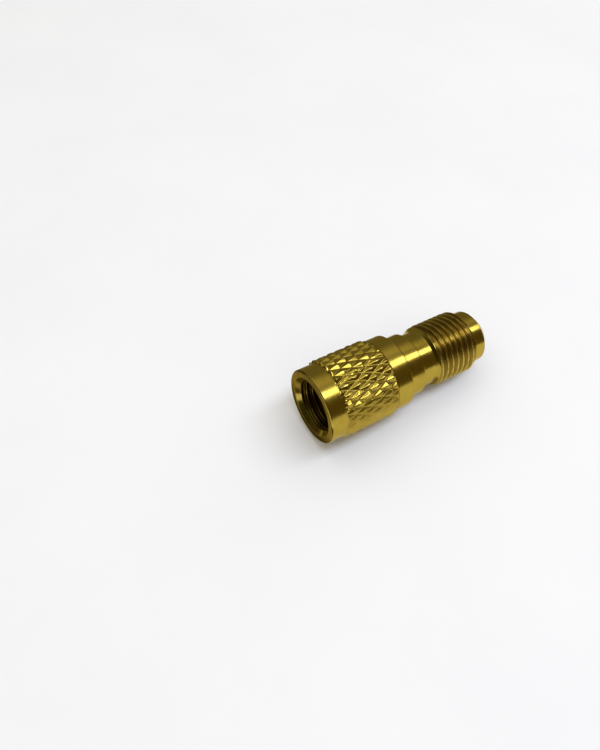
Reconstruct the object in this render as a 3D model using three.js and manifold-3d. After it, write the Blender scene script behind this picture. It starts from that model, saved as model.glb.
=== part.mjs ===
// A brass refrigerant hose adapter: a knurled swivel nut with a female 1/4 in flare thread on one end,
// a male 5/16 in flare with a spring-loaded valve core on the other.
// Millimetres. The axis is X: x = 0 is the face of the nut's mouth, and the male flare points to +X.
import * as THREE from 'three';
import { mergeVertices } from 'three/addons/utils/BufferGeometryUtils.js';
import Module from 'manifold-3d';

// Driving dimensions.
const PITCH = 1.27;
const TOTAL_LENGTH = 39.0;
const GAP = 0.3;
const CLOSE_GAP = 0.15;

// Swivel nut.
const NUT_LENGTH = 18.44;
const MOUTH_BAND_LENGTH = 3.4;
const MOUTH_BAND_RADIUS = 7.35;
const REAR_BAND_RADIUS = 7.3;
const REAR_BAND_START = 14.9;
const KNURL_PEAK_RADIUS = 7.8;
const KNURL_ROOT_RADIUS = 7.2;
const KNURL_STARTS = 28;
const KNURL_ROWS = 6;
const KNURL_LEAD_IN = 0.25;
const FEMALE_CREST_RADIUS = 4.97;
const FEMALE_ROOT_RADIUS = 5.52;
const FEMALE_MOUTH_RADIUS = 5.66;
const FEMALE_TURNS = 6;
const RELIEF_RADIUS = 5.6;
const RELIEF_END = 10.3;
const RING_GROOVE_START = 13.9;
const RING_GROOVE_END = 15.1;
const NUT_GROOVE_RADIUS = 5.4;

// Adapter body.
const SPIGOT_START = 10.6;
const SPIGOT_RADIUS = 4.6;
const SPIGOT_GROOVE_RADIUS = 4.05;
const COLLAR_RADIUS = 6.2;
const COLLAR_END = 22.1;
const NECK_RADIUS = 5.5;
const NECK_END = 25.3;
const MALE_CREST_RADIUS = 6.3;
const MALE_ROOT_RADIUS = 5.6;
const MALE_FIRST_CREST = 26.9;
const MALE_TURNS = 6;
const MALE_THREAD_END = 34.65;
const NOSE_START = 35.13;
const NOSE_RADIUS = 5.3;
const FLARE_START = 37.5;
const NOSE_END_RADIUS = 3.85;
const NOSE_MOUTH_RADIUS = 3.3;
const NOSE_MOUTH_DEPTH = 1.2;
const CORE_BORE_RADIUS = 2.65;
const CORE_SEAT_END = 32.3;
const CORE_SEAT_START = 30.5;
const FLOW_BORE_RADIUS = 1.95;
const GASKET_SEAT_RADIUS = 3.9;
const GASKET_SEAT_END = 12.2;
const DEPRESSOR_BORE_RADIUS = 2.6;
const DEPRESSOR_BORE_END = 15.2;

// Retaining ring, gasket and depressor.
const RING_WIRE_RADIUS = 0.42;
const RING_OPENING_DEGREES = 24;
const GASKET_BORE_RADIUS = 2.0;
const DEPRESSOR_PIN_RADIUS = 0.85;
const DEPRESSOR_TIP = 8.6;
const DEPRESSOR_LEGS = 3;
const DEPRESSOR_FLANGE_START = 12.5;
const DEPRESSOR_FLANGE_END = 13.9;

// Valve core.
const CORE_HEAD_RADIUS = 2.4;
const CORE_HEAD_ROOT_RADIUS = 2.1;
const CORE_HEAD_PITCH = 0.706;
const CORE_HEAD_START = 33.0;
const CORE_HEAD_END = 37.2;
const CORE_HEAD_BORE_RADIUS = 1.35;
const CORE_HEAD_HOLE_RADIUS = 1.0;
const CORE_RECESS_RADIUS = 1.8;
const CORE_SLOT_START = 36.0;
const CORE_SLOT_WIDTH = 1.6;
const BARREL_RADIUS = 1.55;
const BARREL_START = 28.4;
const BARREL_END = 32.8;
const BARREL_FLANGE_RADIUS = 2.35;
const PIN_RADIUS = 0.5;
const PIN_TIP_RADIUS = 0.92;
const PIN_TIP = 39.3;
const PIN_TIP_LENGTH = 0.9;
const PIN_COLLAR = 35.1;
const PIN_FOOT = 26.5;
const CUP_RADIUS = 1.65;
const CUP_START = 26.9;
const CUP_END = 28.0;
const SPRING_RADIUS = 0.94;
const SPRING_WIRE_RADIUS = 0.12;
const SPRING_TURNS = 6;
const SPRING_START = 30.75;
const SPRING_END = 34.85;

const wasm = await Module();
wasm.setup();

const brass = new THREE.MeshStandardMaterial({ color: 0xa8923a, roughness: 0.28, metalness: 1 });
const coreBrass = new THREE.MeshStandardMaterial({ color: 0xb59a45, roughness: 0.32, metalness: 1 });
const steel = new THREE.MeshStandardMaterial({ color: 0xb9bcc0, roughness: 0.3, metalness: 1 });
const rubber = new THREE.MeshStandardMaterial({ color: 0x1c1c1e, roughness: 0.75, metalness: 0 });
const ptfe = new THREE.MeshStandardMaterial({ color: 0xe9e7e0, roughness: 0.55, metalness: 0 });

// Leaves only position, joins shared vertices and drops triangles that have no area.
function welded(shape) {
  shape.deleteAttribute('normal');
  shape.deleteAttribute('uv');
  const joined = mergeVertices(shape);
  const corners = joined.index.array;
  const kept = [];
  for (let i = 0; i < corners.length; i += 3) {
    const [a, b, c] = [corners[i], corners[i + 1], corners[i + 2]];
    if (a !== b && b !== c && c !== a) kept.push(a, b, c);
  }
  joined.setIndex(kept);
  return joined;
}

// A raw lathe of [x, radius] points about the X axis. Outer walls run towards +X, inner walls back.
function lathe(outline, sides) {
  const points = outline.map(([x, radius]) => new THREE.Vector2(radius, x));
  const shape = new THREE.LatheGeometry(points, sides);
  shape.rotateZ(-Math.PI / 2);
  return shape;
}

function turned(outline, sides) {
  return welded(lathe(outline, sides));
}

function turnedRing(outline, sides) {
  return turned([...outline, outline[0]], sides);
}

function toSolid(shape) {
  return new wasm.Manifold(new wasm.Mesh({
    numProp: 3,
    vertProperties: new Float32Array(shape.attributes.position.array),
    triVerts: new Uint32Array(shape.index.array),
  }));
}

function toShape(solid) {
  const mesh = solid.getMesh();
  const shape = new THREE.BufferGeometry();
  shape.setAttribute('position', new THREE.BufferAttribute(mesh.vertProperties, 3));
  shape.setIndex(new THREE.BufferAttribute(mesh.triVerts, 1));
  shape.computeVertexNormals();
  return shape;
}

function cut(shape, tools) {
  let solid = toSolid(shape);
  for (const tool of tools) solid = solid.subtract(toSolid(tool));
  return toShape(solid);
}

function box(lengthX, lengthY, lengthZ, x, y, z) {
  const shape = new THREE.BoxGeometry(lengthX, lengthY, lengthZ);
  shape.translate(x, y, z);
  return welded(shape);
}

// A round wire along a curve.
function wire(path, radius, steps, sides) {
  const section = new THREE.Shape();
  for (let i = 0; i < sides; i += 1) {
    const angle = (2 * Math.PI * i) / sides;
    const [u, v] = [radius * Math.cos(angle), radius * Math.sin(angle)];
    if (i === 0) section.moveTo(u, v);
    else section.lineTo(u, v);
  }
  return welded(new THREE.ExtrudeGeometry(section, { steps, extrudePath: path }));
}

// A helix about the X axis. With no rise it is an open ring.
class Helix extends THREE.Curve {
  constructor(radius, start, end, firstAngle, turns) {
    super();
    Object.assign(this, { radius, start, end, firstAngle, turns });
  }

  getPoint(t, target = new THREE.Vector3()) {
    const angle = this.firstAngle + 2 * Math.PI * this.turns * t;
    const x = this.start + (this.end - this.start) * t;
    return target.set(x, this.radius * Math.cos(angle), this.radius * Math.sin(angle));
  }
}

// Thread teeth as rings: crests one pitch apart, with a root halfway between two crests.
function threadRings(firstCrest, turns, pitch, crestRadius, rootRadius) {
  const points = [];
  for (let turn = 0; turn < turns; turn += 1) {
    points.push([firstCrest + pitch * turn, crestRadius]);
    points.push([firstCrest + pitch * (turn + 0.5), rootRadius]);
  }
  points.push([firstCrest + pitch * turns, crestRadius]);
  return points;
}

// Lifts every second vertex of the knurl's rows to make diamond points, with grooves between them.
function raiseDiamonds(shape, rowLength, firstRow, columns) {
  const position = shape.attributes.position;
  const corners = shape.index;
  const lift = KNURL_PEAK_RADIUS / KNURL_ROOT_RADIUS;
  for (let column = 0; column <= columns; column += 1) {
    for (let row = 0; row < KNURL_ROWS; row += 1) {
      const isPoint = (column + row) % 2 === 0;
      const vertex = column * rowLength + firstRow + row;
      if (isPoint) {
        position.setY(vertex, position.getY(vertex) * lift);
        position.setZ(vertex, position.getZ(vertex) * lift);
      }
      if (column === columns || row === KNURL_ROWS - 1 || isPoint) continue;
      const [a, b, c, d] = [vertex, vertex + rowLength, vertex + rowLength + 1, vertex + 1];
      const first = 6 * (column * (rowLength - 1) + firstRow + row);
      [a, b, c, a, c, d].forEach((corner, i) => corners.setX(first + i, corner));
    }
  }
  return shape;
}

function nutShape() {
  const sides = KNURL_STARTS * 2;
  const firstRowX = MOUTH_BAND_LENGTH + KNURL_LEAD_IN;
  const rowStep = (REAR_BAND_START - KNURL_LEAD_IN - firstRowX) / (KNURL_ROWS - 1);
  const knurlRows = [];
  for (let row = 0; row < KNURL_ROWS; row += 1) {
    knurlRows.push([firstRowX + rowStep * row, KNURL_ROOT_RADIUS]);
  }
  const beforeKnurl = [
    [0, 0],
    [0, MOUTH_BAND_RADIUS - 0.2],
    [0.2, MOUTH_BAND_RADIUS],
    [MOUTH_BAND_LENGTH - 0.05, MOUTH_BAND_RADIUS],
    [MOUTH_BAND_LENGTH, KNURL_ROOT_RADIUS],
  ];
  const afterKnurl = [
    [REAR_BAND_START, REAR_BAND_RADIUS],
    [NUT_LENGTH - 0.3, REAR_BAND_RADIUS],
    [NUT_LENGTH, REAR_BAND_RADIUS - 0.3],
    [NUT_LENGTH, 0],
  ];
  const outline = [...beforeKnurl, ...knurlRows, ...afterKnurl];
  const raised = raiseDiamonds(lathe(outline, sides), outline.length, beforeKnurl.length, sides);
  const spigotHole = SPIGOT_RADIUS + GAP;
  const countersink = FEMALE_MOUTH_RADIUS - FEMALE_CREST_RADIUS;
  const threadEnd = countersink + FEMALE_TURNS * PITCH;
  const cavity = turned([
    [-1, 0],
    [-1, FEMALE_MOUTH_RADIUS + 1],
    ...threadRings(countersink, FEMALE_TURNS, PITCH, FEMALE_CREST_RADIUS, FEMALE_ROOT_RADIUS),
    [threadEnd + 0.4, RELIEF_RADIUS],
    [RELIEF_END, RELIEF_RADIUS],
    [RELIEF_END, spigotHole],
    [RING_GROOVE_START, spigotHole],
    [RING_GROOVE_START, NUT_GROOVE_RADIUS],
    [RING_GROOVE_END, NUT_GROOVE_RADIUS],
    [RING_GROOVE_END, spigotHole],
    [NUT_LENGTH + 1, spigotHole],
    [NUT_LENGTH + 1, 0],
  ], 36);
  return cut(welded(raised), [cavity]);
}

function bodyShape() {
  const collarStart = NUT_LENGTH + GAP;
  const outside = turned([
    [SPIGOT_START, 0],
    [SPIGOT_START, SPIGOT_RADIUS - 0.3],
    [SPIGOT_START + 0.3, SPIGOT_RADIUS],
    [RING_GROOVE_START, SPIGOT_RADIUS],
    [RING_GROOVE_START, SPIGOT_GROOVE_RADIUS],
    [RING_GROOVE_END, SPIGOT_GROOVE_RADIUS],
    [RING_GROOVE_END, SPIGOT_RADIUS],
    [collarStart, SPIGOT_RADIUS],
    [collarStart, COLLAR_RADIUS - 0.15],
    [collarStart + 0.15, COLLAR_RADIUS],
    [COLLAR_END - 0.25, COLLAR_RADIUS],
    [COLLAR_END, COLLAR_RADIUS - 0.25],
    [COLLAR_END + 0.5, NECK_RADIUS],
    [NECK_END, NECK_RADIUS],
    [MALE_FIRST_CREST - 0.5, MALE_CREST_RADIUS],
    ...threadRings(MALE_FIRST_CREST, MALE_TURNS, PITCH, MALE_CREST_RADIUS, MALE_ROOT_RADIUS),
    [MALE_THREAD_END, MALE_CREST_RADIUS - 0.1],
    [NOSE_START, MALE_ROOT_RADIUS],
    [NOSE_START, NOSE_RADIUS],
    [FLARE_START, NOSE_RADIUS],
    [TOTAL_LENGTH, NOSE_END_RADIUS],
    [TOTAL_LENGTH, 0],
  ], 40);
  const throughBore = turned([
    [SPIGOT_START - 1, 0],
    [SPIGOT_START - 1, GASKET_SEAT_RADIUS],
    [GASKET_SEAT_END, GASKET_SEAT_RADIUS],
    [GASKET_SEAT_END, DEPRESSOR_BORE_RADIUS],
    [DEPRESSOR_BORE_END, DEPRESSOR_BORE_RADIUS],
    [DEPRESSOR_BORE_END + 0.65, FLOW_BORE_RADIUS],
    [CORE_SEAT_START, FLOW_BORE_RADIUS],
    [CORE_SEAT_END, CORE_BORE_RADIUS],
    [TOTAL_LENGTH - NOSE_MOUTH_DEPTH, CORE_BORE_RADIUS],
    [TOTAL_LENGTH - NOSE_MOUTH_DEPTH, NOSE_MOUTH_RADIUS],
    [TOTAL_LENGTH + 1, NOSE_MOUTH_RADIUS],
    [TOTAL_LENGTH + 1, 0],
  ], 24);
  return cut(outside, [throughBore]);
}

function retainingRingShape() {
  const middle = (RING_GROOVE_START + RING_GROOVE_END) / 2;
  const radius = SPIGOT_RADIUS + GAP / 2;
  const opening = THREE.MathUtils.degToRad(RING_OPENING_DEGREES);
  const turns = 1 - RING_OPENING_DEGREES / 360;
  return wire(new Helix(radius, middle, middle, Math.PI / 2 + opening / 2, turns), RING_WIRE_RADIUS, 30, 6);
}

function gasketShape() {
  const outer = GASKET_SEAT_RADIUS - GAP;
  const back = GASKET_SEAT_END - CLOSE_GAP;
  return turnedRing([
    [SPIGOT_START - 0.3, outer - 0.4],
    [SPIGOT_START - 0.1, outer],
    [back, outer],
    [back, GASKET_BORE_RADIUS],
    [SPIGOT_START + 0.7, GASKET_BORE_RADIUS],
  ], 32);
}

function depressorShape() {
  const flange = DEPRESSOR_BORE_RADIUS - CLOSE_GAP;
  const solid = turned([
    [DEPRESSOR_TIP, 0],
    [DEPRESSOR_TIP, DEPRESSOR_PIN_RADIUS - 0.25],
    [DEPRESSOR_TIP + 0.25, DEPRESSOR_PIN_RADIUS],
    [DEPRESSOR_FLANGE_START, DEPRESSOR_PIN_RADIUS],
    [DEPRESSOR_FLANGE_START, flange],
    [DEPRESSOR_FLANGE_END, flange],
    [DEPRESSOR_FLANGE_END, DEPRESSOR_PIN_RADIUS],
    [DEPRESSOR_FLANGE_END + 0.8, DEPRESSOR_PIN_RADIUS],
    [DEPRESSOR_FLANGE_END + 0.8, 0],
  ], 24);
  const length = DEPRESSOR_FLANGE_END - DEPRESSOR_FLANGE_START + 1;
  const middle = (DEPRESSOR_FLANGE_START + DEPRESSOR_FLANGE_END) / 2;
  const windows = [];
  for (let leg = 0; leg < DEPRESSOR_LEGS; leg += 1) {
    const window = new THREE.CylinderGeometry(0.95, 0.95, length, 16);
    window.rotateZ(Math.PI / 2);
    window.translate(middle, 0, flange - 0.35);
    window.rotateX((2 * Math.PI * leg) / DEPRESSOR_LEGS);
    windows.push(welded(window));
  }
  return cut(solid, windows);
}

function coreHeadShape() {
  const firstCrest = CORE_HEAD_START + 0.35;
  const threads = Math.floor((CORE_SLOT_START - firstCrest - 0.25) / CORE_HEAD_PITCH);
  const outside = turned([
    [CORE_HEAD_START, 0],
    [CORE_HEAD_START, CORE_HEAD_ROOT_RADIUS],
    ...threadRings(firstCrest, threads, CORE_HEAD_PITCH, CORE_HEAD_RADIUS, CORE_HEAD_ROOT_RADIUS),
    [CORE_HEAD_END - 0.15, CORE_HEAD_RADIUS],
    [CORE_HEAD_END, CORE_HEAD_RADIUS - 0.15],
    [CORE_HEAD_END, 0],
  ], 24);
  const bore = turned([
    [CORE_HEAD_START - 1, 0],
    [CORE_HEAD_START - 1, CORE_HEAD_BORE_RADIUS],
    [PIN_COLLAR + 0.45, CORE_HEAD_BORE_RADIUS],
    [PIN_COLLAR + 0.45, CORE_HEAD_HOLE_RADIUS],
    [CORE_SLOT_START, CORE_HEAD_HOLE_RADIUS],
    [CORE_SLOT_START, CORE_RECESS_RADIUS],
    [CORE_HEAD_END + 1, CORE_RECESS_RADIUS],
    [CORE_HEAD_END + 1, 0],
  ], 20);
  const slotLength = CORE_HEAD_END + 1 - CORE_SLOT_START;
  const slot = box(slotLength, CORE_SLOT_WIDTH, 8, CORE_SLOT_START + slotLength / 2, 0, 0);
  return cut(outside, [bore, slot]);
}

function barrelShape() {
  const springPocket = SPRING_RADIUS + SPRING_WIRE_RADIUS + CLOSE_GAP;
  return turnedRing([
    [BARREL_START, PIN_RADIUS + 0.55],
    [BARREL_START, BARREL_RADIUS],
    [CORE_SEAT_END - 0.05, BARREL_RADIUS],
    [CORE_SEAT_END - 0.05, BARREL_FLANGE_RADIUS],
    [BARREL_END, BARREL_FLANGE_RADIUS],
    [BARREL_END, springPocket],
    [SPRING_START - 0.3, springPocket],
    [SPRING_START - 0.3, PIN_RADIUS + 0.25],
    [BARREL_START + 0.5, PIN_RADIUS + 0.25],
  ], 24);
}

function barrelSealShape() {
  const inner = BARREL_RADIUS + 0.12;
  return turnedRing([
    [CORE_SEAT_START + 0.2, inner + 0.17],
    [CORE_SEAT_END - 0.2, CORE_BORE_RADIUS - 0.25],
    [CORE_SEAT_END - 0.2, inner],
    [CORE_SEAT_START + 0.2, inner],
  ], 24);
}

function pinShape() {
  return turned([
    [PIN_FOOT, 0],
    [PIN_FOOT, PIN_RADIUS + 0.2],
    [PIN_FOOT + 0.25, PIN_RADIUS + 0.2],
    [PIN_FOOT + 0.25, PIN_RADIUS],
    [PIN_COLLAR, PIN_RADIUS],
    [PIN_COLLAR, SPRING_RADIUS + SPRING_WIRE_RADIUS],
    [PIN_COLLAR + 0.3, SPRING_RADIUS + SPRING_WIRE_RADIUS],
    [PIN_COLLAR + 0.3, PIN_RADIUS],
    [PIN_TIP - PIN_TIP_LENGTH, PIN_RADIUS],
    [PIN_TIP - PIN_TIP_LENGTH + 0.3, PIN_TIP_RADIUS],
    [PIN_TIP - 0.2, PIN_TIP_RADIUS],
    [PIN_TIP, PIN_TIP_RADIUS - 0.2],
    [PIN_TIP, 0],
  ], 20);
}

function cupShape() {
  return turnedRing([
    [CUP_START, PIN_RADIUS + 0.1],
    [CUP_START, CUP_RADIUS],
    [CUP_END, CUP_RADIUS],
    [CUP_END, CUP_RADIUS - 0.2],
    [CUP_START + 0.4, CUP_RADIUS - 0.2],
    [CUP_START + 0.4, PIN_RADIUS + 0.1],
  ], 24);
}

function cupSealShape() {
  const outer = CUP_RADIUS - 0.3;
  return turnedRing([
    [CUP_START + 0.5, outer],
    [BARREL_START - 0.1, outer],
    [BARREL_START - 0.1, PIN_RADIUS + 0.1],
    [CUP_START + 0.5, PIN_RADIUS + 0.1],
  ], 24);
}

function springShape() {
  const coil = new Helix(SPRING_RADIUS, SPRING_START, SPRING_END, 0, SPRING_TURNS);
  return wire(coil, SPRING_WIRE_RADIUS, SPRING_TURNS * 12, 5);
}

const group = new THREE.Group();

function place(name, shape, material) {
  const mesh = new THREE.Mesh(shape, material);
  mesh.name = name;
  group.add(mesh);
}

place('knurled_nut', nutShape(), brass);
place('adapter_body', bodyShape(), brass);
place('retaining_ring', retainingRingShape(), steel);
place('flare_gasket', gasketShape(), rubber);
place('core_depressor', depressorShape(), coreBrass);
place('core_head', coreHeadShape(), coreBrass);
place('core_barrel', barrelShape(), coreBrass);
place('core_barrel_seal', barrelSealShape(), ptfe);
place('core_pin', pinShape(), steel);
place('core_cup', cupShape(), coreBrass);
place('core_cup_seal', cupSealShape(), rubber);
place('core_spring', springShape(), steel);

export default group;
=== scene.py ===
"""A brass refrigerant hose adapter with a knurled swivel nut, on a pale studio floor.

Shapes are worked out in millimetres about the X axis and become metres when a piece is made.
x = 0 is the face of the nut's mouth, and the male flare points to +X.
A turn about the axis is in degrees, from +Y towards +Z.
"""
import math

import bpy
import numpy as np
from mathutils import Matrix, Vector


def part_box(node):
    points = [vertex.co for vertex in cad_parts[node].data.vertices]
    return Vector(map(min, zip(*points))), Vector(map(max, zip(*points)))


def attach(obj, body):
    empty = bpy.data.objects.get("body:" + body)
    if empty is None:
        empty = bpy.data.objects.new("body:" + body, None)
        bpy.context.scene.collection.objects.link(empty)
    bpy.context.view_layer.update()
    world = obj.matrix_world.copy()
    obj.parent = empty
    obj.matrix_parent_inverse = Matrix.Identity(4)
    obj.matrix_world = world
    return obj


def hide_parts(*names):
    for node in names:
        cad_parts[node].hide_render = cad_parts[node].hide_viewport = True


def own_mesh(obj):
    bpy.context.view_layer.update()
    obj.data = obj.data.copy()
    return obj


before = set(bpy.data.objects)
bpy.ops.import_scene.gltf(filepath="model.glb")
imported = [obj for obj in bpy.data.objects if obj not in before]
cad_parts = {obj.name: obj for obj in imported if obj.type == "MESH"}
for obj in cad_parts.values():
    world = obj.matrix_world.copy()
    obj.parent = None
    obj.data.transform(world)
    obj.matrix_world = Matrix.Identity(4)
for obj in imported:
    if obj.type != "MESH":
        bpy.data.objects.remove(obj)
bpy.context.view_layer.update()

MM = 0.001


def span(node):
    """The x of a CAD node's two ends, in millimetres."""
    low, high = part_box(node)
    return low.x / MM, high.x / MM


def reach(node):
    """A CAD node's largest radius, in millimetres."""
    low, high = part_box(node)
    return max(high.y, high.z) / MM


# ---------------------------------------------------------------- shapes

# Points are joined when they share a cell of a grid with this many cells per millimetre. The number isn't
# round, so that no true position lies on the border between two cells.
WELD = 95492.96585
# A row of points this far beside a rounded corner keeps the face beside it flat, within a share of that face.
SUPPORT, SUPPORT_SHARE = 0.06, 0.3
# A rounded corner takes at most this share of each face beside it, and its middle is worn this much.
CORNER_SHARE, CORNER_WEAR = 0.42, 0.6
# A corner that turns by less than the first, in radians, stays sharp. Below the second it has fewer steps.
LEAST_TURN, SLIGHT_TURN = 0.02, 0.9
FEW_STEPS, MORE_STEPS = 3, 5


def ramp(value, low, high):
    """A smooth step from 0 at low to 1 at high."""
    t = np.clip((value - low) / (high - low), 0.0, 1.0)
    return t * t * (3.0 - 2.0 * t)


def as_table(values):
    """One number for each row, a whole table or a single number, in a shape that fits a table."""
    values = np.asarray(values, float)
    return values[:, None] if values.ndim == 1 else values


def around(x, radius, angle):
    """Points at x, at a radius and an angle about the X axis."""
    y, z = radius * np.cos(angle), radius * np.sin(angle)
    return np.stack([np.broadcast_to(x, y.shape), y, z], -1)


def rounded(corners, closed=False):
    """Corners (x, radius, fillet) as points (x, radius, wear), with small arcs and support points by them."""
    points = [np.array(c[:2], float) for c in corners]
    count = len(corners)
    out = []
    for i, (here, corner) in enumerate(zip(points, corners)):
        fillet = corner[2]
        if not closed and i in (0, count - 1) or fillet == 0:
            out.append((here[0], here[1], 0.0))
            continue
        before, after = points[i - 1] - here, points[(i + 1) % count] - here
        length_before, length_after = np.linalg.norm(before), np.linalg.norm(after)
        before, after = before / length_before, after / length_after
        between = math.acos(max(-1.0, min(1.0, float(before @ after))))
        turn = math.pi - between
        if turn < LEAST_TURN:
            out.append((here[0], here[1], 0.0))
            continue
        tangent = min(fillet * math.tan(turn / 2), CORNER_SHARE * length_before, CORNER_SHARE * length_after)
        radius = tangent / math.tan(turn / 2)
        start, end = here + before * tangent, here + after * tangent
        bisector = before + after
        centre = here + bisector / np.linalg.norm(bisector) * (radius / math.sin(between / 2))
        steps = FEW_STEPS if turn < SLIGHT_TURN else MORE_STEPS
        support_before = min(SUPPORT, SUPPORT_SHARE * (length_before - tangent))
        support_after = min(SUPPORT, SUPPORT_SHARE * (length_after - tangent))
        out.append((*(start + before * support_before), 0.0))
        first = math.atan2(*(start - centre)[::-1])
        sweep = math.atan2(*(end - centre)[::-1]) - first
        sweep = (sweep + math.pi) % (2 * math.pi) - math.pi
        for step in range(steps + 1):
            angle = first + sweep * step / steps
            worn = CORNER_WEAR * math.sin(math.pi * step / steps)
            out.append((centre[0] + radius * math.cos(angle), centre[1] + radius * math.sin(angle), worn))
        out.append((*(end + after * support_after), 0.0))
    if closed:
        out.append(out[0])
    return out


class Skin:
    """A closed surface about the X axis, made of patches of rows that are joined where they meet."""

    def __init__(self, columns, twist=0.0):
        self.columns = columns
        self.twist = twist
        self.points = []
        self.marks = []
        self.faces = []
        self.size = 0

    def patch(self, x, radius, wear=0.0, groove=0.0, split=False, twist=None):
        """Adds rows of points. Outer walls run towards +X, inner walls back. twist is in radians, by row."""
        x, radius, wear, groove = (as_table(values) for values in (x, radius, wear, groove))
        shape = (x.shape[0], self.columns + 1)
        angle = 2 * math.pi * (np.arange(self.columns + 1) % self.columns) / self.columns
        angle = angle + (self.twist if twist is None else twist)
        x, radius, wear, groove = (np.broadcast_to(values, shape) for values in (x, radius, wear, groove))
        self.points.append(around(x, radius, angle).reshape(-1, 3))
        self.marks.append(np.stack([wear, groove], -1).reshape(-1, 2))
        index = self.size + np.arange(shape[0] * shape[1]).reshape(shape)
        a, b, c, d = index[:-1, :-1], index[:-1, 1:], index[1:, 1:], index[1:, :-1]
        if split:
            # The diagonal follows a groove or ridge: it joins the two corners that are nearest in radius.
            forward = np.abs(radius[:-1, :-1] - radius[1:, 1:]) <= np.abs(radius[:-1, 1:] - radius[1:, :-1])
            forward = forward.ravel()
            a, b, c, d = (corner.ravel() for corner in (a, b, c, d))
            for keep, triangles in ((forward, ((a, b, c), (a, c, d))), (~forward, ((a, b, d), (b, c, d)))):
                self.faces += [np.stack([corner[keep] for corner in triangle], -1) for triangle in triangles]
        else:
            self.faces.append(np.stack([a, b, c, d], -1).reshape(-1, 4))
        self.size += shape[0] * shape[1]
        return self

    def outline(self, corners, closed=False):
        """Adds a lathe patch from corners (x, radius, fillet)."""
        x, radius, wear = np.array(rounded(corners, closed)).T
        return self.patch(x, radius, wear)

    def change(self, columns, x, radius_from, radius_to, twist=0.0):
        """Changes the number of columns, in a flat strip at x from the first radius to the second."""
        before, after = self.columns, columns
        first = self.size
        self._ring(x, radius_from, before, self.twist)
        second = self.size
        self._ring(x, radius_to, after, twist)
        self.twist = twist
        few, many = min(before, after), max(before, after)
        times = many // few
        coarse, fine = (first, second) if before == few else (second, first)
        triangles = []
        for k in range(few):
            near, far = coarse + k, coarse + (k + 1) % few
            for m in range(times):
                one, two = fine + (k * times + m) % many, fine + (k * times + m + 1) % many
                triangles.append((near if m < times / 2 else far, one, two))
                if m + 1 == math.ceil(times / 2):
                    triangles.append((near, two, far))
        triangles = np.array(triangles)
        self.faces.append(triangles[:, ::-1] if before == few else triangles)
        self.columns = after

    def _ring(self, x, radius, columns, twist):
        angle = 2 * math.pi * np.arange(columns) / columns + twist
        self.points.append(around(x, radius, angle))
        self.marks.append(np.zeros((columns, 2)))
        self.size += columns

    def mesh(self, name):
        """Joins points in the same place, drops faces without area and makes the mesh in metres."""
        points = np.concatenate(self.points)
        marks = np.concatenate(self.marks)
        keys = np.round(points * WELD).astype(np.int64)
        _, first, where = np.unique(keys, axis=0, return_index=True, return_inverse=True)
        where = where.reshape(-1)
        faces = []
        for block in self.faces:
            joined = where[block]
            whole = np.all(joined != np.roll(joined, 1, axis=1), axis=1)
            faces += joined[whole].tolist()
            for face in joined[~whole].tolist():
                kept = [p for p, q in zip(face, face[1:] + face[:1]) if p != q]
                if len(set(kept)) >= 3:
                    faces.append(kept)
        return make_mesh(name, points[first], faces, marks[first])


def make_mesh(name, points, faces, marks=None):
    """A smooth mesh in metres from points in millimetres, with the marks that its material reads."""
    mesh = bpy.data.meshes.new(name)
    mesh.from_pydata((np.asarray(points) * MM).tolist(), [], faces)
    mesh.shade_smooth()
    marks = np.zeros((len(points), 2)) if marks is None else marks
    for column, mark in enumerate(("wear", "groove")):
        values = mesh.attributes.new(mark, "FLOAT", "POINT")
        values.data.foreach_set("value", np.ascontiguousarray(marks[:, column], np.float32))
    return mesh


def lathe(corners, columns, name):
    """A solid ring, or a solid that starts and ends on the axis."""
    closed = corners[0][1] > 0
    return Skin(columns).outline(corners, closed).mesh(name)


# ---------------------------------------------------------------- threads

PITCH = 1.27
# Where the rows of points of a thread lie within one pitch, with its crest at 0.
PHASES = np.array([
    -0.5, -0.44, -0.40, -0.36, -0.29, -0.2, -0.13, -0.09, -0.06, 0.0,
    0.06, 0.09, 0.13, 0.2, 0.29, 0.36, 0.40, 0.44,
])
# A flank ends this far from the crest and is this wide, in pitches. Its hollow steepens it near the crest.
FLANK_END, FLANK_WIDTH, FLANK_HOLLOW = 0.30, 0.25, 0.55
# The share of the height that a shallow curve over the whole pitch makes up.
CURVE_SHARE = 0.12


def tooth(phase):
    """The height of a thread tooth, from 0 in the wide round root to 1 on the narrow crest."""
    away = np.abs((phase + 0.5) % 1.0 - 0.5)
    flank = np.clip((FLANK_END - away) / FLANK_WIDTH, 0.0, 1.0)
    flank = flank * (1 - FLANK_HOLLOW + FLANK_HOLLOW * flank)
    return (1 - CURVE_SHARE) * flank + CURVE_SHARE * (1 - 2 * away) ** 2


def thread_rows(low, high, pitch, columns):
    """The x of helical rows of points from low to high, for a right-hand thread, held at the two ends."""
    turns = np.arange(math.floor(low / pitch) - 2, math.ceil(high / pitch) + 2)
    starts = (turns[:, None] + PHASES[None, :]).ravel() * pitch
    rows = starts[:, None] + pitch * np.arange(columns + 1)[None, :] / columns
    rows = np.clip(rows, low, high)
    used = (rows.max(1) > low) & (rows.min(1) < high)
    first, last = np.argmax(used), len(used) - np.argmax(used[::-1])
    return rows[max(first - 1, 0):last + 1]


def phase_of(x, pitch, columns, crest):
    """Where points lie in a thread's turns, for a crest that is at x = crest where the turn is 0."""
    return (x - crest) / pitch - np.arange(columns + 1)[None, :] / columns


# ---------------------------------------------------------------- materials


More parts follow.
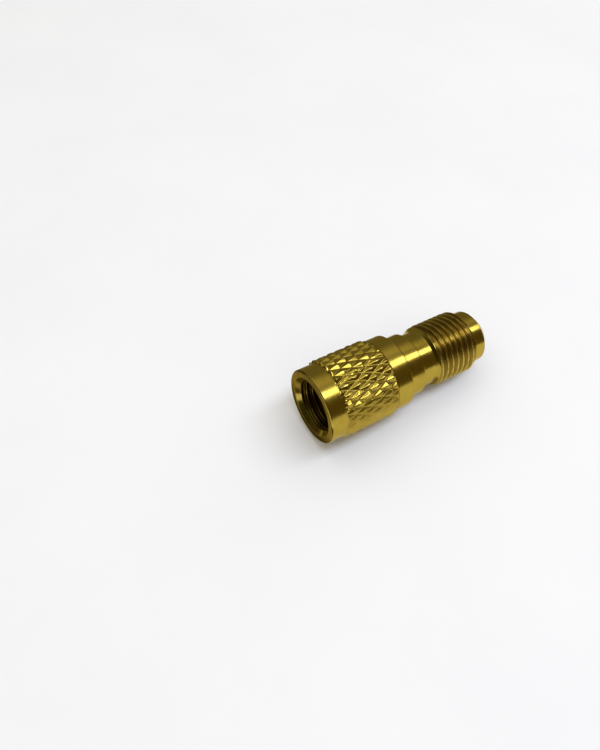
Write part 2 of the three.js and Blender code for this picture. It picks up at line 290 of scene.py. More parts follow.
class Graph:
    """Short calls for building the nodes of a material or a world."""

    def __init__(self, owner, shader="Principled BSDF"):
        owner.use_nodes = True
        self.tree = owner.node_tree
        self.shader = self.tree.nodes[shader]

    def node(self, kind, settings=None, **inputs):
        """A new node. Inputs are given by name, or by place as i0, i1 and so on."""
        node = self.tree.nodes.new(kind)
        for key, value in (settings or {}).items():
            setattr(node, key, value)
        for key, value in inputs.items():
            by_place = key[0] == "i" and key[1:].isdigit()
            self.put(node.inputs[int(key[1:]) if by_place else key], value)
        return node

    def put(self, socket, value):
        """Links a socket to the value, or sets it where the value is a plain number or colour."""
        if isinstance(value, bpy.types.NodeSocket):
            self.tree.links.new(value, socket)
        else:
            socket.default_value = value

    def math(self, operation, a, b=0.0, clamp=False):
        settings = {"operation": operation, "use_clamp": clamp}
        return self.node("ShaderNodeMath", settings, i0=a, i1=b).outputs[0]

    def blend(self, a, b, share):
        """A mix of two colours."""
        node = self.node("ShaderNodeMix", {"data_type": "RGBA"})
        self.put(node.inputs[0], share)
        self.put(node.inputs[6], a)
        self.put(node.inputs[7], b)
        return node.outputs[2]

    def level(self, value, low, high, out_low=0.0, out_high=1.0):
        """A smooth step of a value, from out_low to out_high."""
        settings = {"interpolation_type": "SMOOTHSTEP"}
        node = self.node("ShaderNodeMapRange", settings, i0=value, i1=low, i2=high, i3=out_low, i4=out_high)
        return node.outputs[0]

    def scaled(self, value, factor):
        return self.math("MULTIPLY", value, factor)

    def noise(self, place, scale, detail=2.0, roughness=0.5):
        inputs = {"Vector": place, "Scale": scale, "Detail": detail, "Roughness": roughness}
        return self.node("ShaderNodeTexNoise", **inputs).outputs[0]

    def line_noise(self, place, scale, detail=2.0):
        settings = {"noise_dimensions": "1D"}
        return self.node("ShaderNodeTexNoise", settings, W=place, Scale=scale, Detail=detail).outputs[0]

    def attribute(self, name):
        return self.node("ShaderNodeAttribute", {"attribute_name": name}).outputs["Fac"]

    def point(self):
        """The point on the object, in millimetres."""
        coordinates = self.node("ShaderNodeTexCoord").outputs["Object"]
        scale = {"operation": "SCALE"}
        return self.node("ShaderNodeVectorMath", scale, i0=coordinates, Scale=1 / MM).outputs[0]

    def part(self, vector, axis):
        """The x, y or z of a vector, as axis 0, 1 or 2."""
        return self.node("ShaderNodeSeparateXYZ", i0=vector).outputs[axis]

    def radius(self, point):
        """A point's distance from the X axis."""
        across = self.node("ShaderNodeVectorMath", {"operation": "MULTIPLY"}, i0=point, i1=(0, 1, 1))
        length = self.node("ShaderNodeVectorMath", {"operation": "LENGTH"}, i0=across.outputs[0])
        return length.outputs["Value"]

    def bump(self, height, distance, under=None):
        node = self.node("ShaderNodeBump", Height=height, Distance=distance, Strength=1.0)
        if under is not None:
            self.put(node.inputs["Normal"], under)
        return node.outputs[0]


def turned_metal(name, colours, roughness, ring_depth, groove_share=0.4, bore=None, edge_tint=None):
    """Lathe-turned metal with fine rings, light stains, painted shade in its grooves and bright worn edges.

    colours are the clean, the stained and the worn metal. bore is the colour of the painted shade deep inside
    a nut's mouth.
    """
    clean, stained, worn = colours
    material = bpy.data.materials.new(name)
    g = Graph(material)
    point = g.point()
    x, radius = g.part(point, 0), g.radius(point)
    along = g.math("ADD", x, g.scaled(radius, 1.7))
    wear, groove = g.attribute("wear"), g.attribute("groove")
    stains = g.level(g.noise(point, 0.32, 5.0, 0.6), 0.38, 0.72)
    specks = g.level(g.noise(point, 3.1, 3.0, 0.65), 0.60, 0.78)
    wide_rings = g.line_noise(along, 2.2, 3.0)
    fine_rings = g.line_noise(along, 14.0, 2.0)
    patchy = g.level(g.noise(point, 1.3, 3.0), 0.30, 0.62)

    shade = g.blend(clean, stained, g.scaled(stains, 0.5))
    shade = g.blend(shade, stained, g.scaled(specks, 0.22))
    shade = g.blend(shade, stained, g.scaled(g.level(wide_rings, 0.45, 0.75), 0.16))
    # Painted shade: the groove mark darkens grooves and thread roots, and the places where the pieces paint
    # shade into it.
    shade = g.blend(shade, GROOVE_SHADE, g.scaled(groove, groove_share))
    shade = g.blend(shade, worn, g.scaled(g.math("MULTIPLY", wear, patchy), 0.85))
    if bore:
        # Painted shade: the nut's mouth is darker deeper inside, and less so on its worn edges.
        mouth_shade = g.math("MULTIPLY", g.level(x, *BORE_DEPTH), g.level(radius, *BORE_REACH))
        mouth_shade = g.math("MULTIPLY", mouth_shade, g.math("SUBTRACT", 1.0, g.scaled(wear, 0.5)))
        shade = g.blend(shade, bore, mouth_shade)
    g.put(g.shader.inputs["Base Color"], shade)

    rough = roughness - 0.05
    for mark, share in ((wide_rings, 0.07), (stains, 0.05), (specks, 0.07), (groove, 0.14)):
        rough = g.math("ADD", rough, g.scaled(mark, share))
    g.put(g.shader.inputs["Roughness"], g.math("SUBTRACT", rough, g.scaled(wear, 0.05), True))

    rings = g.math("ADD", g.scaled(wide_rings, 0.5), g.scaled(fine_rings, 0.5))
    normal = g.bump(rings, ring_depth)
    normal = g.bump(g.noise(point, 1.1, 4.0, 0.55), 2.2e-6, normal)
    g.put(g.shader.inputs["Normal"], normal)
    g.shader.inputs["Metallic"].default_value = 1.0
    if edge_tint:
        g.shader.inputs["Specular Tint"].default_value = edge_tint
    return material


def soft_material(name, colour, other, roughness, grain, depth):
    """Rubber or PTFE: a fine grain with light mottling."""
    material = bpy.data.materials.new(name)
    g = Graph(material)
    point = g.point()
    mottle = g.level(g.noise(point, 0.9, 4.0, 0.6), 0.3, 0.7)
    grains = g.noise(point, grain, 3.0, 0.6)
    shade = g.blend(colour, other, mottle)
    g.put(g.shader.inputs["Base Color"], g.blend(shade, other, g.scaled(g.attribute("wear"), 0.4)))
    g.put(g.shader.inputs["Roughness"], g.math("ADD", roughness - 0.08, g.scaled(grains, 0.16), True))
    g.put(g.shader.inputs["Normal"], g.bump(grains, depth))
    return material


# The painted shade inside the nut's mouth grows over these depths, and lies inside these radii, in
# millimetres.
BORE_DEPTH = (0.9, 2.6)
BORE_REACH = (6.4, 6.0)

# Painted shade: this colour darkens grooves, thread roots, the underside of the neck, the top of the first
# thread groove and one side of the knurl.
GROOVE_SHADE = (0.16, 0.09, 0.014, 1)
# Painted shade deep inside the nut's mouth.
BORE_SHADE = (0.17, 0.095, 0.02, 1)
BRASS = ((0.47, 0.338, 0.049, 1), (0.36, 0.245, 0.026, 1), (0.66, 0.52, 0.13, 1))
BRASS_EDGE = (1.0, 0.9, 0.62, 1)
CORE_BRASS = ((0.60, 0.43, 0.12, 1), (0.34, 0.20, 0.05, 1), (0.80, 0.66, 0.34, 1))
BROWN_STEEL = ((0.44, 0.38, 0.33, 1), (0.22, 0.15, 0.10, 1), (0.62, 0.58, 0.55, 1))
SPRING_STEEL = ((0.50, 0.50, 0.51, 1), (0.30, 0.28, 0.26, 1), (0.70, 0.70, 0.70, 1))
RUBBER = ((0.012, 0.012, 0.013, 1), (0.030, 0.029, 0.028, 1))
PTFE = ((0.78, 0.77, 0.73, 1), (0.62, 0.60, 0.54, 1))

nut_brass = turned_metal("nut_brass", BRASS, 0.20, 0.9e-6, 0.12, bore=BORE_SHADE, edge_tint=BRASS_EDGE)
body_brass = turned_metal("body_brass", BRASS, 0.19, 0.9e-6, 0.8, edge_tint=BRASS_EDGE)
core_brass = turned_metal("core_brass", CORE_BRASS, 0.30, 1.2e-6)
pin_steel = turned_metal("pin_steel", BROWN_STEEL, 0.36, 1.0e-6)
spring_steel = turned_metal("spring_steel", SPRING_STEEL, 0.3, 0.8e-6)
rubber = soft_material("gasket_rubber", *RUBBER, 0.62, 22.0, 3.0e-6)
ptfe = soft_material("seal_ptfe", *PTFE, 0.46, 16.0, 1.5e-6)


# ---------------------------------------------------------------- pieces


# Edges that turn by more than this stay sharp on a piece that was cut.
SHARP_EDGE = math.radians(32)


def piece(name, mesh, material, body, node):
    """Makes the object that stands for one CAD node and moves with its body."""
    mesh.materials.append(material)
    made = bpy.data.objects.new(name, mesh)
    bpy.context.scene.collection.objects.link(made)
    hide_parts(node)
    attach(made, body)
    return made


def worked(mesh, tools, name):
    """A mesh after the cutters are taken away from it, with its sharp edges kept."""
    scene = bpy.context.scene.collection
    made = bpy.data.objects.new(name + "_work", mesh)
    scene.objects.link(made)
    helpers = []
    for number, tool in enumerate(tools):
        helper = bpy.data.objects.new(f"{name}_tool_{number}", tool)
        scene.objects.link(helper)
        helpers.append(helper)
        cut = made.modifiers.new("cut", "BOOLEAN")
        cut.operation = "DIFFERENCE"
        cut.solver = "EXACT"
        cut.object = helper
    result = bpy.data.meshes.new_from_object(made.evaluated_get(bpy.context.evaluated_depsgraph_get()))
    result.name = name
    for extra in [made, *helpers]:
        bpy.data.objects.remove(extra)
    result.shade_smooth()
    result.set_sharp_from_angle(angle=SHARP_EDGE)
    return result


def block(size, centre):
    """A plain cutter block in millimetres."""
    corners = [[centre[k] + size[k] * (((n >> k) & 1) - 0.5) for k in range(3)] for n in range(8)]
    faces = [(0, 2, 3, 1), (4, 5, 7, 6), (0, 1, 5, 4), (2, 6, 7, 3), (0, 4, 6, 2), (1, 3, 7, 5)]
    return make_mesh("block", corners, faces)


# The rings of a wire's domed end: how far out each lies and how wide it is, in wire radii.
DOME = [(0.35, 0.94), (0.7, 0.71), (0.93, 0.37)]


def tube(path, wire, sides, name):
    """A round wire along a path of points, with domed ends."""
    path = np.asarray(path, float)
    along = np.gradient(path, axis=0)
    along /= np.linalg.norm(along, axis=1)[:, None]
    side = np.stack([np.zeros(len(path)), path[:, 1], path[:, 2]], -1)
    side -= along * np.sum(side * along, axis=1)[:, None]
    side /= np.linalg.norm(side, axis=1)[:, None]
    up = np.cross(along, side)
    angle = 2 * math.pi * np.arange(sides) / sides
    circle = side[:, None, :] * np.cos(angle)[None, :, None] + up[:, None, :] * np.sin(angle)[None, :, None]
    rings = [path[k] + circle[k] * wire for k in range(len(path))]
    start = [path[0] - along[0] * wire * out + circle[0] * wire * size for out, size in reversed(DOME)]
    end = [path[-1] + along[-1] * wire * out + circle[-1] * wire * size for out, size in DOME]
    rings = start + rings + end
    count = len(rings)
    points = np.concatenate([*rings, [path[0] - along[0] * wire], [path[-1] + along[-1] * wire]])
    faces = []
    for k in range(count - 1):
        for i in range(sides):
            j = (i + 1) % sides
            faces.append((k * sides + i, k * sides + j, (k + 1) * sides + j, (k + 1) * sides + i))
    for i in range(sides):
        j = (i + 1) % sides
        faces.append((count * sides, j, i))
        faces.append((count * sides + 1, (count - 1) * sides + i, (count - 1) * sides + j))
    return make_mesh(name, points, faces)


# The nut: its outside has many columns for the knurl, and its bore has fewer.
NUT_STARTS = 28
STEPS = 20
FINE = NUT_STARTS * STEPS
COARSE = 140
KNURL_FROM, KNURL_TO = 3.4, 14.9
KNURL_PEAK, KNURL_ROOT = reach("knurled_nut"), 7.24
KNURL_EDGE = 7.22
# One diamond's length along the nut. In diamonds: the shear per millimetre, the turn and the shift along X.
KNURL_LEAD = 3.93
KNURL_SHEAR = 0.0187
KNURL_PHASE = 0.7435
KNURL_SHIFT = 0.0335
# The knurling wheel lost its track over part of a turn, and cut a second pattern across the first. These are
# the ranges in degrees, from +Y towards +Z, over which each change grows.
SLIP_LEAN, SLIP_MIDDLE = 1.6, 9.0
FIRST_FADES, FIRST_FAINT, FIRST_BACK = (95, 106), (128, 145), (184, 200)
SECOND_FROM, SECOND_TO = (90, 102), (182, 198)
SHALLOW_FROM, SHALLOW_TO = (142, 156), (196, 214)
# Over these turns one side of the knurl is painted darker: painted shade.
SIDE_SHADE_FROM, SIDE_SHADE_TO = (142, 156), (166, 182)
# How much shallower the cut is: (share of the depth, the range over which it grows).
LESS_START = 0.09
LESS_LEANING, LESS_MORE, LESS_BACK = (0.34, (68, 92)), (0.07, (104, 116)), (0.20, (126, 136))
MOUTH_BAND = 7.35
REAR_BAND = 7.3
FEMALE_CREST, FEMALE_ROOT, FEMALE_RELIEF = 4.97, 5.52, 5.6
FEMALE_END, FEMALE_FIRST = 8.9, 0.94
BEVEL_START, BEVEL_END, BEVEL_RADIUS = 0.1, 0.8, 5.1
# The radii on the two end faces between which the number of columns changes.
MOUTH_SEAM, REAR_SEAM = (6.4, 6.6), (6.4, 5.6)


def knurl_twist(x):
    """How far the knurl's columns are turned at x, in radians: its two cuts have slightly different leads."""
    return 2 * math.pi / NUT_STARTS * (KNURL_PHASE - KNURL_SHEAR * x)


def diamond(u, v, bluntness):
    """The height of a diamond point, 1 at its tip and 0 in the grooves at half-integer u and v."""
    away = 2.0 * np.maximum(np.abs((u + 0.5) % 1.0 - 0.5), np.abs((v + 0.5) % 1.0 - 0.5))
    return 1.0 - away ** bluntness


def knurl_rows():
    """The knurl's rows of x and radius, how worn each point is, and how dark: deep in a groove, with painted
    shade on one side.
    """
    step = KNURL_LEAD / STEPS
    shift = KNURL_SHIFT * KNURL_LEAD
    low, high = math.ceil((KNURL_FROM + shift) / step + 0.3), math.floor((KNURL_TO + shift) / step - 0.3)
    x = np.concatenate([[KNURL_FROM], np.arange(low, high + 1) * step - shift, [KNURL_TO]])[:, None]
    a = np.arange(FINE + 1)[None, :] / STEPS
    b = (x + shift) / KNURL_LEAD
    angle = np.degrees(2 * math.pi * a / NUT_STARTS + knurl_twist(x)) % 360
    u, v = a + b, a - b
    first = diamond(u, v, 1.15)
    slip = 0.09 * np.sin(1.9 * a + 0.8 * b) + 0.07 * np.sin(2.7 * b - 0.9 * a)
    second = diamond(u - 0.35 + slip, v + 0.18 - slip, 1.1)
    lean = angle + SLIP_LEAN * (x - SLIP_MIDDLE)
    lost = ramp(lean, *FIRST_FADES) * (1 - 0.5 * ramp(angle, *FIRST_FAINT)) * (1 - ramp(angle, *FIRST_BACK))
    old = 1 - 0.85 * lost
    new = ramp(lean, *SECOND_FROM) * (1 - ramp(angle, *SECOND_TO))
    height = 1 - np.maximum((1 - first) * old, (1 - second) * new)
    height = height * (0.96 + 0.04 * np.sin(2.3 * a + 1.7 * b))
    under = 1 - ramp(angle, *SHALLOW_TO)
    shallow = ramp(angle, *SHALLOW_FROM) * under
    land = 0.89 - 0.08 * new * (1 - shallow)
    height = np.clip(height, 0.0, land) / land
    tip = KNURL_PEAK - 0.14 * shallow - 0.06 * new
    less = LESS_START + LESS_LEANING[0] * ramp(lean, *LESS_LEANING[1])
    less = less + LESS_MORE[0] * ramp(angle, *LESS_MORE[1]) - LESS_BACK[0] * ramp(angle, *LESS_BACK[1])
    share = 1 - less * under - 0.24 * shallow
    radius = tip - (KNURL_PEAK - KNURL_ROOT) * share * (1 - height)
    fade = ramp(x, KNURL_FROM, KNURL_FROM + 0.4) * (1 - ramp(x, KNURL_TO - 0.4, KNURL_TO))
    radius = KNURL_EDGE + (radius - KNURL_EDGE) * fade
    wear = ramp(height, 0.78, 1.0) * fade
    # Painted shade: the knurl is darkened in a band of turns on its -Y side.
    stained = 1.5 * ramp(angle, *SIDE_SHADE_FROM) * (1 - ramp(angle, *SIDE_SHADE_TO))
    groove = np.maximum(1 - ramp(height, 0.0, 0.35), stained) * fade
    for values in (radius, wear, groove):
        values[:, -1] = values[:, 0]
    return x, radius, wear, groove


def nut_mesh():
    """The nut: its bands and knurl outside, then its bore from the rear to the mouth, with the thread."""
    nut = Skin(FINE, knurl_twist(KNURL_FROM))
    nut.outline([
        (0.0, MOUTH_SEAM[1], 0), (0.0, MOUTH_BAND, 0.42),
        (KNURL_FROM, MOUTH_BAND, 0.07), (KNURL_FROM, KNURL_EDGE, 0),
    ])
    x, radius, wear, groove = knurl_rows()
    nut.patch(x, radius, wear, groove, True, knurl_twist(x))
    nut.twist = knurl_twist(KNURL_TO)
    rear = span("knurled_nut")[1]
    nut.outline([
        (KNURL_TO, KNURL_EDGE, 0), (KNURL_TO, REAR_BAND, 0.05),
        (rear - 0.32, REAR_BAND, 0.05), (rear, REAR_BAND - 0.34, 0.08), (rear, REAR_SEAM[0], 0),
    ])
    nut.change(COARSE, rear, *REAR_SEAM)
    nut.outline([
        (rear, REAR_SEAM[1], 0), (rear, 4.9, 0.12),
        (15.1, 4.9, 0.05), (15.1, 5.4, 0.08), (13.9, 5.4, 0.08), (13.9, 4.9, 0.05),
        (10.3, 4.9, 0.08), (10.3, FEMALE_RELIEF, 0.1), (FEMALE_END, FEMALE_RELIEF, 0),
    ])
    x = thread_rows(BEVEL_END, FEMALE_END, PITCH, COARSE)[::-1]
    teeth = tooth(phase_of(x, PITCH, COARSE, FEMALE_FIRST))
    mouth = BEVEL_RADIUS - (x - BEVEL_END)
    relief = FEMALE_CREST + (FEMALE_RELIEF - FEMALE_CREST) * ramp(x, 8.2, FEMALE_END - 0.1)
    radius = FEMALE_CREST + (FEMALE_ROOT - FEMALE_CREST) * (1 - teeth) * ramp(x, BEVEL_END, BEVEL_END + 0.4)
    radius = np.maximum(np.maximum(radius, mouth), relief)
    depth = np.clip((radius - FEMALE_CREST) / (FEMALE_ROOT - FEMALE_CREST), 0, 1) * ramp(x, 0.3, 1.0)
    nut.patch(x, radius, ramp(teeth, 0.85, 1.0), depth)
    # The bevel, from its inner to its outer edge, with the metal rubbed bright between them.
    share = np.array([0.0, 0.1, 0.5, 0.9, 1.0])
    rubbed = np.array([0.0, 0.6, 0.7, 0.6, 0.0])
    width = BEVEL_END - BEVEL_START
    nut.patch(BEVEL_END - width * share, BEVEL_RADIUS + width * share, rubbed)
    nut.outline([
        (BEVEL_START, BEVEL_RADIUS + width, 0), (0.04, 5.86, 0.08),
        (0.0, 6.08, 0.05), (0.0, MOUTH_SEAM[0], 0),
    ])
    nut.change(FINE, 0.0, *MOUTH_SEAM, knurl_twist(KNURL_FROM))
    return nut.mesh("swivel_nut")


# The body: its thread is cut between the neck and the nose, inside an envelope with a slope at each end.
MALE_CREST, MALE_ROOT, MALE_FIRST = 6.3, 5.76, 26.9
NECK, COLLAR = 5.5, 6.2
NECK_MIDDLE = 24.3
HIP_FROM, HIP_TO = 25.1, 25.9
THREAD_FROM, THREAD_TO = 25.22, 35.08
# The end's slope starts at the first x. From the second x and its radius it falls faster.
END_FROM, END_BEND, END_BEND_RADIUS = 34.5, 34.65, 6.135
END_FALL, END_STEEPER = 1.1, 1.38
# Painted shade under the neck and near the start of the thread is darker than in a groove of full depth, by
# this factor.
HEAVY_SHADE = 1.3


def male_envelope(x):
    """The largest radius that the male thread has at x."""
    hip = NECK + (MALE_CREST - NECK) * (x - HIP_FROM) / (HIP_TO - HIP_FROM)
    gentle = MALE_CREST - (x - END_FROM) * END_FALL
    end = np.where(x < END_BEND, gentle, END_BEND_RADIUS - (x - END_BEND) * END_STEEPER)
    return np.minimum(np.minimum(hip, MALE_CREST), end)


def body_mesh():
    """The body: its spigot, collar, neck, thread and nose outside, then its bore from the nose back."""
    body = Skin(COARSE)
    front, nose = span("adapter_body")
    hip_radius = float(male_envelope(np.array(THREAD_FROM)))
    end_radius = float(male_envelope(np.array(THREAD_TO)))
    body.outline([
        (front, 4.2, 0), (front, 4.6, 0.22),
        (13.9, 4.6, 0.05), (13.9, 4.05, 0.1), (15.1, 4.05, 0.1), (15.1, 4.6, 0.05),
        (18.74, 4.6, 0.12), (18.74, COLLAR, 0.1), (21.84, COLLAR, 0.05), (22.1, COLLAR - 0.28, 0.06),
        (22.32, NECK, 0.12), (NECK_MIDDLE, NECK, 0),
    ])
    # Painted shade under the neck, and in the first groove of the thread over part of a turn near the top.
    turn = 360.0 * np.arange(COARSE + 1)[None, :] / COARSE
    beneath = ramp(turn, 172, 185) * (1 - ramp(turn, 206, 226))
    step = rounded([(NECK_MIDDLE, NECK, 0), (HIP_FROM, NECK, 0.2), (THREAD_FROM, hip_radius, 0)])
    x, radius, wear = np.array(step).T
    body.patch(x, radius, wear, HEAVY_SHADE * beneath * ramp(x, NECK_MIDDLE, 24.95)[:, None])
    x = thread_rows(THREAD_FROM, THREAD_TO, PITCH, COARSE)
    teeth = tooth(phase_of(x, PITCH, COARSE, MALE_FIRST))
    fade = ramp(x, 25.4, 26.1)
    radius = np.minimum(male_envelope(x), MALE_CREST - (MALE_CREST - MALE_ROOT) * (1 - teeth) * fade)
    depth = np.clip((male_envelope(x) - radius) / (MALE_CREST - MALE_ROOT), 0, 1)
    # Painted shade on the first groove of the thread near the top, and under the neck where the thread
    # starts.
    thread_shade = ramp(turn, 35, 50) * (1 - ramp(turn, 80, 96)) * ramp(x, 25.6, 25.9) * (1 - ramp(x, 26.8, 27.1))
    thread_shade = thread_shade + beneath * (1 - ramp(x, 25.3, 25.8))
    # Painted shade: the thread's roots are darker on the upper side.
    above = ramp(turn, 15, 40) * (1 - ramp(turn, 80, 98))
    wear = ramp(teeth, 0.55, 0.9) * fade * (1 - thread_shade)
    body.patch(x, radius, wear, np.maximum((1 + 0.35 * above) * depth, HEAVY_SHADE * thread_shade))
    body.outline([
        (THREAD_TO, end_radius, 0), (35.13, 5.3, 0.06), (37.5, 5.3, 0.12), (nose, 3.64, 0.07),
        (nose, 3.3, 0.07), (37.8, 3.3, 0.06), (37.8, 2.65, 0.08),
        (32.3, 2.65, 0.05), (30.5, 1.95, 0.05), (15.85, 1.95, 0.05),
        (15.2, 2.6, 0.05), (12.2, 2.6, 0.05), (12.2, 3.9, 0.05), (front, 3.9, 0.1), (front, 4.2, 0),
    ])
    return body.mesh("flare_body")


def head_mesh():
    """The valve core's head: its thread, its rim with the slot for the core tool, and its bore."""
    low, high = span("core_head")
    pitch, crest, root = 0.706, 2.4, 2.1
    columns = 72
    head = Skin(columns)
    stop = 35.7
    head.outline([(low, 1.9, 0), (low, root, 0.08), (low + 0.2, root, 0)])
    x = thread_rows(low + 0.2, stop, pitch, columns)
    teeth = tooth(phase_of(x, pitch, columns, low + 0.35))
    fade = ramp(x, low + 0.2, low + 0.7)
    last = ramp(x, stop - 0.5, stop)
    radius = root + (crest - root) * np.maximum(teeth * fade, last)
    head.patch(x, radius, ramp(teeth, 0.8, 1.0) * fade, (1 - teeth) * (1 - last))
    head.outline([
        (stop, crest, 0), (high, crest, 0.12), (high, 1.8, 0.06), (36.0, 1.8, 0.05), (36.0, 1.0, 0.05),
        (35.55, 1.0, 0.05), (35.55, 1.35, 0.05), (low, 1.35, 0.08), (low, 1.9, 0),
    ])
    slot = block((2.4, 1.6, 8.0), (37.2, 0.0, 0.0))
    return worked(head.mesh("valve_head"), [slot], "valve_head")


def depressor_mesh():
    """The depressor: a pin with a flange, from which three round windows leave three legs."""
    tip, back = span("core_depressor")
    flange, pin = 2.45, 0.85
    solid = lathe([
        (tip, 0, 0), (tip, pin, 0.26), (12.5, pin, 0.1), (12.5, flange, 0.08),
        (13.9, flange, 0.08), (13.9, pin, 0.1), (back, pin, 0.12), (back, 0, 0),
    ], 72, "depressor")
    tools = []
    outwards = Matrix.Translation((0, 0, 2.1 * MM))
    for leg in range(3):
        cutter = lathe([(11.7, 0, 0), (11.7, 0.95, 0), (14.7, 0.95, 0), (14.7, 0, 0)], 40, "window")
        cutter.transform(Matrix.Rotation(2 * math.pi * leg / 3, 4, "X") @ outwards)
        tools.append(cutter)
    return worked(solid, tools, "depressor")


def spring_mesh():
    """A compression spring with closed ends."""
    low, high = span("core_spring")
    wire, radius, turns = 0.12, 0.94, 6.5
    closed_turns, closed_pitch = 0.85, 2.1 * wire
    t = np.linspace(0.0, 1.0, int(turns * 40) + 1)
    closed = closed_turns / turns
    first, last = np.clip(t / closed, 0, 1), np.clip((t - 1 + closed) / closed, 0, 1)
    between = np.clip((t - closed) / (1 - 2 * closed), 0, 1)
    rise = closed_pitch * first * closed_turns + closed_pitch * last * closed_turns
    free = (high - low - 2 * wire) - 2 * closed_pitch * closed_turns
    x = low + wire + rise + free * between
    return tube(around(x, radius, 2 * math.pi * turns * t), wire, 12, "valve_spring")


def ring_mesh():
    """A spring wire ring with an opening at the top."""
    low, high = span("retaining_ring")
    radius, wire = 4.75, 0.4
    opening = math.radians(34)
    angle = math.pi / 2 + opening / 2 + (2 * math.pi - opening) * np.linspace(0, 1, 97)
    return tube(around((low + high) / 2, radius, angle), wire, 16, "snap_ring")


piece("swivel_nut", nut_mesh(), nut_brass, "nut", "knurled_nut")
piece("flare_body", body_mesh(), body_brass, "adapter", "adapter_body")
piece("snap_ring", ring_mesh(), spring_steel, "adapter", "retaining_ring")

low, high = span("flare_gasket")
gasket = lathe([
    (low, 3.2, 0.1), (low + 0.2, 3.6, 0.15), (high, 3.6, 0.15), (high, 2.0, 0.1), (11.3, 2.0, 0.15),
], 96, "gasket")
piece("gasket", gasket, rubber, "adapter", "flare_gasket")
piece("depressor", depressor_mesh(), core_brass, "adapter", "core_depressor")
piece("valve_head", head_mesh(), core_brass, "adapter", "core_head")

low, high = span("core_barrel")
barrel = lathe([
    (low, 1.05, 0.05), (low, 1.55, 0.12), (32.25, 1.55, 0.08), (32.25, 2.35, 0.08), (high, 2.35, 0.08),
    (high, 1.21, 0.06), (30.45, 1.21, 0.06), (30.45, 0.75, 0.05), (low + 0.5, 0.75, 0.05),
], 72, "valve_barrel")
piece("valve_barrel", barrel, core_brass, "adapter", "core_barrel")
low, high = span("core_barrel_seal")
seal = lathe([
    (low, 1.84, 0.06), (high, 2.4, 0.08), (high, 1.67, 0.05), (low, 1.67, 0.05),
], 72, "valve_barrel_seal")
piece("valve_barrel_seal", seal, ptfe, "adapter", "core_barrel_seal")

low, high = span("core_pin")
pin = lathe([
    (low, 0, 0), (low, 0.7, 0.1), (low + 0.25, 0.7, 0.06), (low + 0.25, 0.5, 0.03),
    (35.1, 0.5, 0.05), (35.1, 1.06, 0.05), (35.4, 1.06, 0.05), (35.4, 0.5, 0.08),
    (high - 0.9, 0.5, 0.1), (high - 0.62, 0.92, 0.06), (high - 0.1, 0.92, 0.12),
    (high, 0.55, 0.3), (high, 0, 0),
], 56, "valve_pin")
piece("valve_pin", pin, pin_steel, "valve_pin", "core_pin")
low, high = span("core_cup")
cup = lathe([
    (low, 0.6, 0.05), (low, 1.65, 0.15), (high, 1.65, 0.06), (high, 1.45, 0.06),
    (low + 0.4, 1.45, 0.05), (low + 0.4, 0.6, 0.05),
], 72, "valve_cup")
piece("valve_cup", cup, core_brass, "valve_pin", "core_cup")
low, high = span("core_cup_seal")
cup_seal = lathe([
    (low, 1.35, 0.08), (high, 1.35, 0.15), (high, 0.6, 0.1), (low, 0.6, 0.05),
], 72, "valve_cup_seal")
piece("valve_cup_seal", cup_seal, rubber, "valve_pin", "core_cup_seal")

spring = piece("valve_spring", spring_mesh(), spring_steel, "adapter", "core_spring")
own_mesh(spring)


# ---------------------------------------------------------------- floor, light and camera

# The part lies on its knurl and its male thread, so the floor tilts. It touches the knurl at this x.
FLOOR_TILT = math.radians(4.34)
REST_X = 14.65
REST_RADIUS = reach("knurled_nut")


def floor():
    """A wide plain floor under the knurl and the male thread, on which the part lies."""
    material = bpy.data.materials.new("studio_floor")
    g = Graph(material)
    point = g.point()
    paper = g.noise(point, 0.02, 4.0, 0.6)
    fibre = g.noise(point, 2.5, 3.0, 0.6)
    shade = g.blend((0.84, 0.84, 0.84, 1), (0.865, 0.865, 0.86, 1), g.level(paper, 0.3, 0.7))
    g.put(g.shader.inputs["Base Color"], g.blend(shade, (0.83, 0.83, 0.83, 1), g.scaled(fibre, 0.2)))
    g.put(g.shader.inputs["Roughness"], g.math("ADD", 0.82, g.scaled(fibre, 0.1)))
    g.put(g.shader.inputs["Normal"], g.bump(fibre, 6.0e-6))
    g.shader.inputs["Specular IOR Level"].default_value = 0.2
    half = 20.0 / MM
    corners = [(-half, -half, 0), (half, -half, 0), (half, half, 0), (-half, half, 0)]
    lay(sheet("studio_floor", corners, material))


def sheet(name, corners, material):
    """Makes a staging sheet from its four corners, in millimetres."""
    mesh = bpy.data.meshes.new(name)
    mesh.from_pydata([tuple(c * MM for c in corner) for corner in corners], [], [(0, 1, 2, 3)])
    mesh.materials.append(material)
    made = bpy.data.objects.new(name, mesh)
    bpy.context.scene.collection.objects.link(made)
    return made


def lay(made):
    """Puts a sheet in the plane that the part rests on."""
    made.location = (REST_X * MM, 0, -REST_RADIUS * MM)
    made.rotation_euler = (0, -FLOOR_TILT, 0)


def lamp(kind, name, place, energy, **settings):
    """A light at a place in metres. It keeps its own axis, which points straight down."""
    data = bpy.data.lights.new(name, kind)
    data.energy = energy
    for key, value in settings.items():
        setattr(data, key, value)
    made = bpy.data.objects.new(name, data)
    made.location = place
    bpy.context.scene.collection.objects.link(made)
    return made


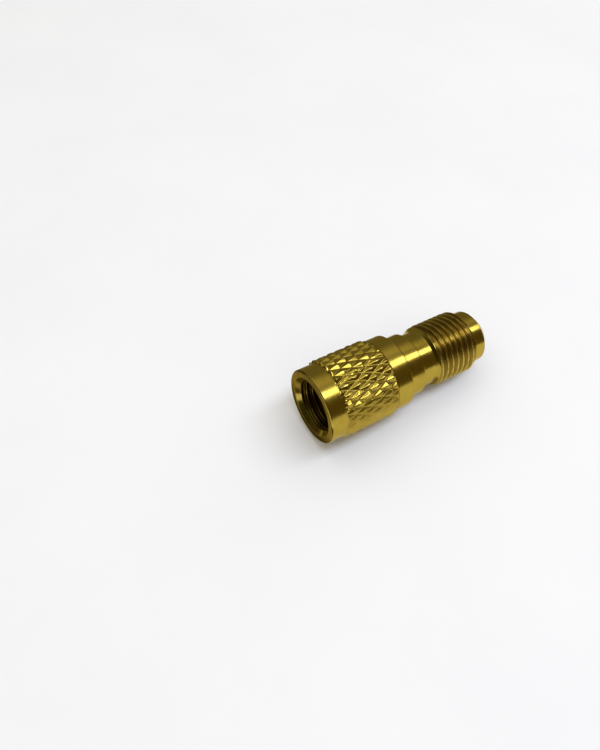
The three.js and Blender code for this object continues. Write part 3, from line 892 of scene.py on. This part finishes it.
def card(name, corners, dark, pale, rise, fall=None):
    """A card that only reflections see: dark, then pale between rise and fall along X, in millimetres."""
    material = bpy.data.materials.new(name)
    g = Graph(material)
    point = g.point()
    place = g.math("ADD", g.part(point, 0), g.scaled(g.noise(point, 0.05), 2.0))
    g.put(g.shader.inputs["Base Color"], (0, 0, 0, 1))
    share = g.level(place, *rise)
    if fall:
        share = g.math("MULTIPLY", share, g.level(place, *fall, 1.0, 0.0))
    g.put(g.shader.inputs["Emission Color"], g.blend(dark, pale, share))
    g.shader.inputs["Emission Strength"].default_value = 1.0
    g.shader.inputs["Specular IOR Level"].default_value = 0.0
    made = sheet(name, corners, material)
    for seen_by in ("visible_camera", "visible_diffuse", "visible_shadow", "visible_transmission"):
        setattr(made, seen_by, False)
    return made


def cards():
    """Painted reflections: a low card behind the part darkens its upper edges, and one on the floor, dark
    near the mouth, paints the part's shadow into the mouth's reflections.
    """
    card("card_behind", [(-120, 20, -12), (160, 20, -12), (160, 20, 11), (-120, 20, 11)],
         (0.06, 0.05, 0.03, 1), (0.22, 0.20, 0.15, 1), (-6.0, 8.0))
    low = card("card_before", [(-29.5, -30, 0.3), (-14.9, -30, 0.3), (-14.9, 40, 0.3), (-29.5, 40, 0.3)],
               (0.06, 0.05, 0.02, 1), (0.45, 0.41, 0.29, 1), (-22.0, -19.0), (-18.2, -15.4))
    lay(low)


def studio_light():
    """A long softbox overhead, a wide soft fill, and a pale room that is dim and warm on the near side."""
    box = {"shape": "RECTANGLE", "size": 1.09, "size_y": 0.32, "color": (0.90, 0.97, 1.18)}
    lamp("AREA", "softbox", (0.295, -0.25, 1.0), 5.6, **box)
    fill = lamp("SUN", "soft_fill", (0, 0, 1), 1.6, angle=math.radians(140), color=(1.0, 0.99, 0.97))
    fill.visible_glossy = False
    cards()

    world = bpy.data.worlds.new("room")
    bpy.context.scene.world = world
    g = Graph(world, "Background")
    direction = g.node("ShaderNodeTexCoord").outputs["Generated"]
    across, depth, height = (g.part(direction, axis) for axis in range(3))
    wall = g.math("ADD", 0.22, g.scaled(g.level(height, 0.5, 0.92), 0.50))
    wall = g.math("MULTIPLY", wall, g.level(depth, 0.10, 0.32, 0.55, 1.0))
    behind = g.level(depth, -0.45, 0.15)
    far = g.blend((0, 0, 0, 1), (1.0, 0.95, 0.80, 1), wall)
    room = g.blend((0.12, 0.090, 0.034, 1), far, behind)
    room = g.blend((0.035, 0.032, 0.010, 1), room, g.level(across, -0.82, -0.58))
    seen = g.node("ShaderNodeLightPath").outputs["Is Camera Ray"]
    backdrop = g.blend((0.62, 0.615, 0.60, 1), (0.90, 0.90, 0.90, 1), g.level(height, -0.06, 0.30))
    g.put(g.shader.inputs["Color"], g.blend(room, backdrop, seen))
    g.shader.inputs["Strength"].default_value = 1.0


# Millimetres, degrees, and the lens in millimetres for a sensor 36 mm wide.
CAMERA_PLACE = (-41.435, -53.254, 96.984)
CAMERA_AZIMUTH = 35.67
CAMERA_ELEVATION = 52.42
CAMERA_ROLL = 6.13
CAMERA_LENS = 30.73


def camera():
    """A camera that sees the part as the photo shows its right-hand copy."""
    azimuth, elevation = math.radians(CAMERA_AZIMUTH), math.radians(CAMERA_ELEVATION)
    level = math.cos(elevation)
    forward = Vector((math.sin(azimuth) * level, math.cos(azimuth) * level, -math.sin(elevation)))
    roll = Matrix.Rotation(math.radians(CAMERA_ROLL), 4, "Z")
    turn = forward.to_track_quat("-Z", "Y").to_matrix().to_4x4() @ roll
    data = bpy.data.cameras.new("camera")
    data.lens = CAMERA_LENS
    data.sensor_width = 36.0
    data.clip_start = 0.005
    data.clip_end = 100.0
    made = bpy.data.objects.new("camera", data)
    made.matrix_world = Matrix.Translation(Vector(CAMERA_PLACE) * MM) @ turn
    bpy.context.scene.collection.objects.link(made)
    bpy.context.scene.camera = made


floor()
studio_light()
camera()
bpy.context.scene.view_settings.view_transform = "Standard"
